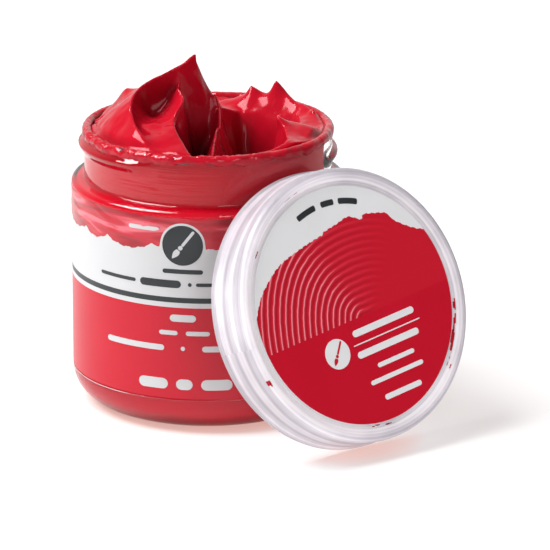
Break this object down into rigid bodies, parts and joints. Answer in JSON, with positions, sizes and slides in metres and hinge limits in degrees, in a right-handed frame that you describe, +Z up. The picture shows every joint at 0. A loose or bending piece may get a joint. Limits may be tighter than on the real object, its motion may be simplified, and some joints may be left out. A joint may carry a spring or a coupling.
{
  "type": "paint jar",
  "caption": "Round clear jar of thick red acrylic paint, open and heaped, with a printed wrap label and a frosted screw cap leaning against its neck.",
  "frame": {"origin": "centre of the jar's flat base, on the table", "axes": "+Z up along the jar's axis, +X to the right and -Y towards the front, where the cap leans"},
  "size_m": [0.0868, 0.0866, 0.0782],
  "materials": {
    "clear_plastic": "clear, polished",
    "wrap_print": "satin printed film",
    "wet_paint": "wet gloss",
    "frosted_plastic": "translucent, frosted",
    "liner_foam": "soft foam",
    "sticker_print": "satin printed paper"
  },
  "bodies": {
    "jar": {"jar": "clear_plastic", "wrap_label": "wrap_print", "paint": "wet_paint"},
    "liner": {"cap_liner": "liner_foam"},
    "cap": {"cap": "frosted_plastic", "cap_label": "sticker_print"}
  },
  "joints": [
    {"name": "cap_lift", "type": "slide", "parent": "jar", "child": "liner", "axis": [0.5605, -0.7411, 0.3697], "range_m": [0, 0.06]},
    {"name": "cap_turn", "type": "hinge", "parent": "liner", "child": "cap", "pos_m": [0.0262, -0.02885, 0.02825], "axis": [0.5605, -0.7411, 0.3697], "continuous": true}
  ]
}
